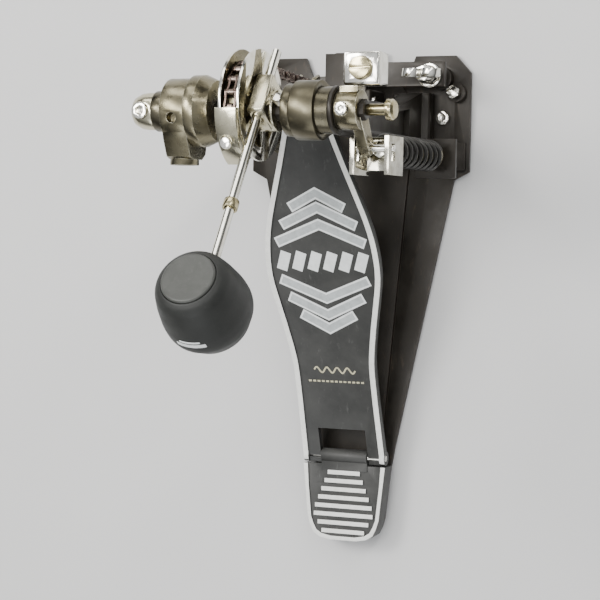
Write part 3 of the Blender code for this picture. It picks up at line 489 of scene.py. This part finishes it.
def make_graphics():
    """Plain chevrons on both sides of a row of slanted dashes, and a wave over a dotted line."""
    outline = bmesh.new()
    fill = bmesh.new()
    for sign in (1, -1):
        for near, reach, half in CHEVRONS:
            low = GRAPHIC_MIDDLE + sign * near
            stroke = [(-half, low), (0.0, low + sign * reach), (half, low)]
            add_print(outline, fill, stroke, CHEVRON_WIDTH, CHEVRON_EDGE)
    for index in range(DASH_COUNT):
        x = (index - (DASH_COUNT - 1) / 2) * DASH_PITCH
        stroke = [(x - DASH_LEAN, GRAPHIC_MIDDLE - DASH_HALF), (x + DASH_LEAN, GRAPHIC_MIDDLE + DASH_HALF)]
        ribbon(outline, stroke, DASH_WIDTH, PRINT_BOTTOM, PRINT_TOP)
    piece("board_print_outline", outline, "print_light", "footboard", BOARD)
    piece("board_print_fill", fill, "print_grey", "footboard", BOARD)
    lines = bmesh.new()
    wave = [
        (WAVE_START + WAVE_STEP * step, WAVE_MIDDLE + WAVE_HEIGHT * math.sin(step * WAVE_TURN))
        for step in range(WAVE_POINTS)
    ]
    ribbon(lines, wave, WAVE_WIDTH, PRINT_BOTTOM, PRINT_TOP)
    for index in range(DOT_COUNT):
        x = DOT_START + DOT_PITCH * index
        ribbon(lines, [(x, DOT_LINE), (x + DOT_LENGTH, DOT_LINE)], DOT_WIDTH, PRINT_BOTTOM, PRINT_TOP)
    piece("board_print_lines", lines, "print_cream", "footboard", BOARD)


# ---- chain ----

CHAIN_X = (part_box("chain_strand")[0].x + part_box("chain_strand")[1].x) / 2
CHAIN_RADIUS = (Vector(JOINTS["chain_link_1_bend"]["pos_m"]) - AXLE).length
LINK_ANGLE = math.atan2(
    JOINTS["chain_link_1_bend"]["pos_m"][2] - AXLE.z, JOINTS["chain_link_1_bend"]["pos_m"][1] - AXLE.y
)
LINK_PITCH = 2 * CHAIN_RADIUS * math.sin(LINK_ANGLE / 2)
LINKS_OFF_CAM = 4  # the links that leave the cam, each on its own body
INNER_GAP, OUTER_GAP = 1.65 * MM, 2.75 * MM  # from the chain's middle to a plate's near face
PLATE_THICKNESS = 0.95 * MM
PLATE_RADIUS, PLATE_WAIST = 2.45 * MM, 1.75 * MM
END_STEPS = 8  # straight edges in the round end of a plate
# profiles as (radius, along) in millimetres
ROLLER = ((0, -1.6), (1.9, -1.6), (2.25, -1.3), (2.25, 1.3), (1.9, 1.6), (0, 1.6))
PIN = ((0, -4.1), (0.85, -4.1), (1.15, -3.8), (1.15, 3.8), (0.85, 4.1), (0, 4.1))


def chain_pin(angle):
    """Centre of a chain pin on the cam at an angle from +Y towards +Z."""
    return Vector((CHAIN_X, AXLE.y + CHAIN_RADIUS * math.cos(angle), AXLE.z + CHAIN_RADIUS * math.sin(angle)))


def side_plate(bm, start, end, low, high):
    """Figure-of-eight plate between two pins, from low to high along X."""
    ahead = (end - start).normalized()
    across = Vector((1, 0, 0)).cross(ahead)
    length = (end - start).length
    edge = []
    for centre, turn in ((length, -90.0), (0.0, 90.0)):
        for step in range(END_STEPS + 1):
            angle = math.radians(turn + 180.0 * step / END_STEPS)
            edge.append((centre + PLATE_RADIUS * math.cos(angle), PLATE_RADIUS * math.sin(angle)))
        edge.append((length / 2, PLATE_WAIST if turn < 0 else -PLATE_WAIST))
    rings = []
    for x in (low, high):
        origin = Vector((x, start.y, start.z))
        rings.append([bm.verts.new(origin + ahead * s + across * t) for s, t in edge])
    count = len(edge)
    bm.faces.new(rings[0])
    bm.faces.new(list(reversed(rings[1])))
    for step in range(count):
        after = (step + 1) % count
        bm.faces.new((rings[0][step], rings[1][step], rings[1][after], rings[0][after]))


def add_link(bm, start, end, outer):
    """One link's two plates; an outer link's stand wider apart than an inner one's."""
    gap = OUTER_GAP if outer else INNER_GAP
    for sign in (-1, 1):
        low, high = sorted((sign * gap, sign * (gap + PLATE_THICKNESS)))
        side_plate(bm, start, end, CHAIN_X + low, CHAIN_X + high)


def add_roller(bm, centre):
    """A roller and the pin through it, whose ends show outside the outer plates."""
    place = Matrix.Translation(centre) @ ALONG_X
    turn_profile(bm, in_metres(ROLLER), 24, place)
    turn_profile(bm, in_metres(PIN), 16, place)


def make_chain_run(name, pins, node, body, first_outer, skip_last_roller=False):
    """Links between the pins, outer and inner in turn, with a roller at each pin or at all but the last."""
    plates = bmesh.new()
    rollers = bmesh.new()
    for index, (start, end) in enumerate(zip(pins, pins[1:])):
        add_link(plates, start, end, (index % 2 == 0) == first_outer)
    for centre in pins[: -1 if skip_last_roller else None]:
        add_roller(rollers, centre)
    run = piece(f"{name}_plates", plates, "chain_steel", body)
    piece(f"{name}_rollers", rollers, "chain_roller", body)
    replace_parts(run, node)


def make_chain():
    toe = Vector(JOINTS["chain_strand_swing"]["pos_m"])
    toe.x = CHAIN_X
    top = chain_pin(0.0)
    count = round((top - toe).length / LINK_PITCH)
    pins = [toe.lerp(top, index / count) for index in range(count + 1)]
    make_chain_run("strand_chain", pins[:-1], "chain_strand", "strand", True)
    last = bmesh.new()
    add_link(last, pins[-2], pins[-1], (count - 1) % 2 == 0)
    piece("strand_chain_last", last, "chain_steel", "strand")
    for number in range(1, LINKS_OFF_CAM + 1):
        pair = [chain_pin((number - 1) * LINK_ANGLE), chain_pin(number * LINK_ANGLE)]
        make_chain_run(f"link_{number}", pair, f"chain_link_{number}", f"link_{number}", number % 2 == 1, True)
    on_cam = [chain_pin(LINKS_OFF_CAM * LINK_ANGLE), chain_pin((LINKS_OFF_CAM + 1) * LINK_ANGLE)]
    make_chain_run("cam_run", on_cam, "cam_chain", "axle", True)


# ---- spring ----


WIRE = 1.3 * MM  # the wire's radius
TURNS, STEPS_PER_TURN, WIRE_SIDES = 10.0, 40, 14
CLOSED_TURNS = 1.4  # turns at each end over which the pitch falls to nothing
FIRST_ANGLE = math.radians(20)


def make_spring():
    """A coil with closed ends, filling the spring's box from its foot on root to its top on spring_top; it
    rides on no body.
    """
    low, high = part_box("spring")
    centre = (low + high) / 2
    radius = (high.x - low.x) / 2 - WIRE
    count = int(TURNS * STEPS_PER_TURN)
    closing = CLOSED_TURNS / TURNS
    bm = bmesh.new()
    rings = []
    for index in range(count + 1):
        t = index / count
        if t < closing:
            rise = 0.5 * t * t / closing
        elif t > 1 - closing:
            rise = 1 - closing - 0.5 * (1 - t) ** 2 / closing
        else:
            rise = t - closing / 2
        z = low.z + WIRE + (high.z - low.z - 2 * WIRE) * rise / (1 - closing)
        angle = FIRST_ANGLE + 2 * math.pi * TURNS * t
        out = Vector((math.cos(angle), math.sin(angle), 0))
        middle = Vector((centre.x, centre.y, z)) + out * radius
        ring = []
        for side in range(WIRE_SIDES):
            turn = 2 * math.pi * side / WIRE_SIDES
            upward = Vector((0, 0, WIRE * math.sin(turn)))
            ring.append(bm.verts.new(middle + out * (WIRE * math.cos(turn)) + upward))
        rings.append(ring)
    join_rings(bm, rings)
    bm.faces.new(rings[0])
    bm.faces.new(rings[-1])
    coil = piece("spring_coil", bm, "spring_steel", None)
    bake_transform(coil)
    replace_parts(coil, "spring")


# ---- beater ----


# profiles as (radius, along) in millimetres; the head's and the face's run towards the drum
HEAD_ALONG = 142.7  # the head's middle, along the rod from the axle
ROD_OFFSET = 10.5  # the rod's axis, from the axle's towards the drum
ROD_RADIUS = 2.95
HEAD_PROFILE = [
    (0, -26.8), (17, -26.8), (20, -25.2), (25.9, -14.4), (26.6, -10.5), (26.4, -4), (24.4, 8),
    (22.0, 17), (19.7, 20.5), (17.5, 22.1), (16.6, 22.5), (16.45, 21.6), (16.4, 20.6), (0, 20.6),
]
FACE_PROFILE = [(0, 20.7), (16.0, 20.7), (16.25, 22.9), (15.4, 23.9), (13.6, 24.1), (0, 24.1)]
MARK_INNER_RADIUS = 25.8  # inside the head's surface, so that the mark is closed behind
MARK_STEPS = 16
# ((along, outer radius) at each long edge, first and last angle in degrees) of each bar
MARK_BARS = (
    ((-7.6, 26.62), (-5.0, 26.55), 74.0, 114.0),
    ((-3.8, 26.48), (-2.6, 26.28), 80.0, 108.0),
)


def make_beater():
    """Rod, head and face, turned finely, with a plain mark on the head."""
    strike = Vector((1, 0, 0)).cross(ROD_AXIS) * -1
    rod_low, rod_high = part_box("beater_rod")
    along_rod = [(vert.co - AXLE).dot(ROD_AXIS) / MM for vert in NODES["beater_rod"].data.vertices]
    foot = Vector(((rod_low.x + rod_high.x) / 2, AXLE.y, AXLE.z)) + strike * ROD_OFFSET * MM
    turn = Matrix(((1, 0, 0, 0), (0, ROD_AXIS.y, strike.y, 0), (0, ROD_AXIS.z, strike.z, 0), (0, 0, 0, 1)))
    low, high = min(along_rod), max(along_rod)
    shaft = [(0, low), (2.2, low), (ROD_RADIUS, low + 1.0), (ROD_RADIUS, high), (0, high)]
    bm = bmesh.new()
    place = Matrix.Translation(foot) @ turn @ Matrix.Rotation(math.radians(-90), 4, "X")
    turn_profile(bm, in_metres(shaft), 48, place)
    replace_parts(piece("beater_shaft", bm, "rim_bright", "beater"), "beater_rod")
    place = Matrix.Translation(foot + ROD_AXIS * HEAD_ALONG * MM) @ turn
    bm = bmesh.new()
    turn_profile(bm, in_metres(rounded(HEAD_PROFILE, 2.0, 5)), 96, place)
    body = piece("beater_body", bm, "beater_felt", "beater", smooth_angle=50)
    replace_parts(body, "beater_head")
    bm = bmesh.new()
    turn_profile(bm, in_metres(rounded(FACE_PROFILE, 0.7, 4)), 96, place)
    face = piece("beater_striking_face", bm, "beater_plastic", "beater", smooth_angle=50)
    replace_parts(face, "beater_face")
    make_beater_mark(place)


def make_beater_mark(place):
    """Two plain white bars on the head, each a thin curved patch."""
    bm = bmesh.new()
    for (low, low_radius), (high, high_radius), start, end in MARK_BARS:
        section = (MARK_INNER_RADIUS, low), (MARK_INNER_RADIUS, high), (high_radius, high), (low_radius, low)
        rings = []
        for step in range(MARK_STEPS + 1):
            angle = math.radians(start + (end - start) * step / MARK_STEPS)
            rings.append([
                bm.verts.new(place @ Vector((r * MM * math.cos(angle), r * MM * math.sin(angle), z * MM)))
                for r, z in section
            ])
        join_rings(bm, rings)
        bm.faces.new(rings[0])
        bm.faces.new(rings[-1])
    piece("beater_mark", bm, "print_light", "beater", smooth_angle=50)


# ---- threads and screws ----


def make_thread(name, node, body, radius, low, high, pitch=1.0, depth=0.35):
    """Raised ridges round a vertical rod, as one turned sleeve; sizes in millimetres."""
    turns = int((high - low) / pitch)
    root, valley, crest = radius - 0.3, radius - 0.02, radius + depth
    profile = [(0, low), (root, low)]
    for index in range(turns):
        z = low + pitch * index
        profile += [(valley, z + 0.1 * pitch), (crest, z + 0.5 * pitch), (valley, z + 0.9 * pitch)]
    profile += [(root, low + pitch * turns), (0, low + pitch * turns)]
    centre = middle_of(node)
    bm = bmesh.new()
    turn_profile(bm, in_metres(profile), 28, Matrix.Translation((centre.x, centre.y, 0)))
    piece(name, bm, SLOT_OF[node], body, smooth_angle=60)


def middle_of(node):
    low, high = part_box(node)
    return (low + high) / 2


def make_threads():
    make_thread("wing_bolt_thread", "wing_bolt", "wing_bolt", 3.5, 13.0, 42.0)
    make_thread("tension_rod_thread", "tension_rod", "root", 3.0, 37.0, 73.0)
    for side in ("left", "right"):
        spur = f"{side}_spur"
        make_thread(f"{spur}_thread", spur, spur, 2.9, 11.2, 13.8, pitch=0.8, depth=0.25)


# ---- light, floor and camera ----


# (name, place, aim, size, power in watts, colour, other side of a rectangle)
AREA_LIGHTS = (
    ("key", (-0.60, 0.30, 1.35), (0, -0.08, 0.1), 0.45, 13.0, (1.0, 0.985, 0.96)),
    ("top", (-0.10, 0.10, 1.75), (0, -0.08, 0.1), 0.5, 9.0, (1.0, 0.99, 0.98)),
    ("strip", (0.60, 0.60, 1.2), (0, 0, 0.15), 0.10, 6.0, (1.0, 0.99, 0.97), 1.2),
    ("back", (-0.25, 1.30, 0.72), (0, 0, 0.2), 1.3, 9.0, (1.0, 0.99, 0.97), 0.6),
    ("fill", (0.2, -1.3, 0.9), (0, -0.1, 0.1), 0.9, 6.0, (0.96, 0.98, 1.0)),
)
FLOOR_SIZE = 6.0
SKY_STRENGTH = {"From Min": 0.15, "From Max": 0.95, "To Min": 0.10, "To Max": 0.95}
CAMERA_PLACE = Vector((0.455, -0.070, 1.2286))
CAMERA_AIM = Vector((0.004, -0.117, 0.12))
CAMERA_ROLL = math.radians(1.0)
CAMERA_LENS, CAMERA_SENSOR = 111.0, 36.0


def area_light(name, place, aim, size, power, colour, other_side=None):
    data = bpy.data.lights.new(name, "AREA")
    data.energy = power
    data.color = colour
    data.size = size
    if other_side:
        data.shape = "RECTANGLE"
        data.size_y = other_side
    light = bpy.data.objects.new(name, data)
    light.location = place
    light.rotation_euler = (Vector(aim) - Vector(place)).to_track_quat("-Z", "Y").to_euler()
    bpy.context.scene.collection.objects.link(light)


def make_studio():
    look = Look("floor_paint", specular=0.2)
    look.colour(look.mix(look.noise(6.0, 3.0), (0.70, 0.695, 0.685), (0.75, 0.745, 0.735)))
    look.rough(look.spread(look.noise(20.0), 0.3, 0.7, 0.75, 0.9))
    look.bump(look.noise(300.0, 3.0), 0.05, 0.2 * MM)
    bpy.ops.mesh.primitive_plane_add(size=FLOOR_SIZE, location=(0, 0, 0))
    floor = bpy.context.active_object
    floor.name = "studio_floor"
    floor.data.materials.append(look.material)
    make_sky()
    for light in AREA_LIGHTS:
        area_light(*light)


def make_sky():
    """A pale sky that is brighter overhead than at the horizon."""
    world = bpy.data.worlds.new("studio")
    bpy.context.scene.world = world
    world.use_nodes = True
    nodes, links = world.node_tree.nodes, world.node_tree.links
    height = nodes.new("ShaderNodeSeparateXYZ")
    links.new(nodes.new("ShaderNodeTexCoord").outputs["Generated"], height.inputs["Vector"])
    rise = nodes.new("ShaderNodeMapRange")
    for name, value in SKY_STRENGTH.items():
        rise.inputs[name].default_value = value
    links.new(height.outputs["Z"], rise.inputs["Value"])
    background = nodes["Background"]
    background.inputs["Color"].default_value = (0.90, 0.92, 0.95, 1.0)
    links.new(rise.outputs["Result"], background.inputs["Strength"])


def make_camera():
    """Looks down on the pedal from its right, close to the photograph's view."""
    data = bpy.data.cameras.new("camera")
    data.lens = CAMERA_LENS
    data.sensor_width = CAMERA_SENSOR
    camera = bpy.data.objects.new("camera", data)
    back = (CAMERA_PLACE - CAMERA_AIM).normalized()
    level = Vector((0, 1, 0)).cross(back).normalized()
    upright = back.cross(level)
    right = level * math.cos(CAMERA_ROLL) + upright * math.sin(CAMERA_ROLL)
    up = back.cross(right)
    turn = Matrix((right, up, back)).transposed().to_4x4()
    camera.matrix_world = Matrix.Translation(CAMERA_PLACE) @ turn
    bpy.context.scene.collection.objects.link(camera)
    bpy.context.scene.camera = camera


def corners(pair):
    return [[float(value) for value in corner] for corner in pair]


REPLACED = {"chain_strand", "cam_chain", "spring", "beater_rod", "beater_head", "beater_face"}
REPLACED |= {f"chain_link_{number}" for number in range(1, LINKS_OFF_CAM + 1)}

make_camera()
make_studio()
finish_all_cad(REPLACED)
make_graphics()
make_chain()
make_spring()
make_beater()
make_threads()
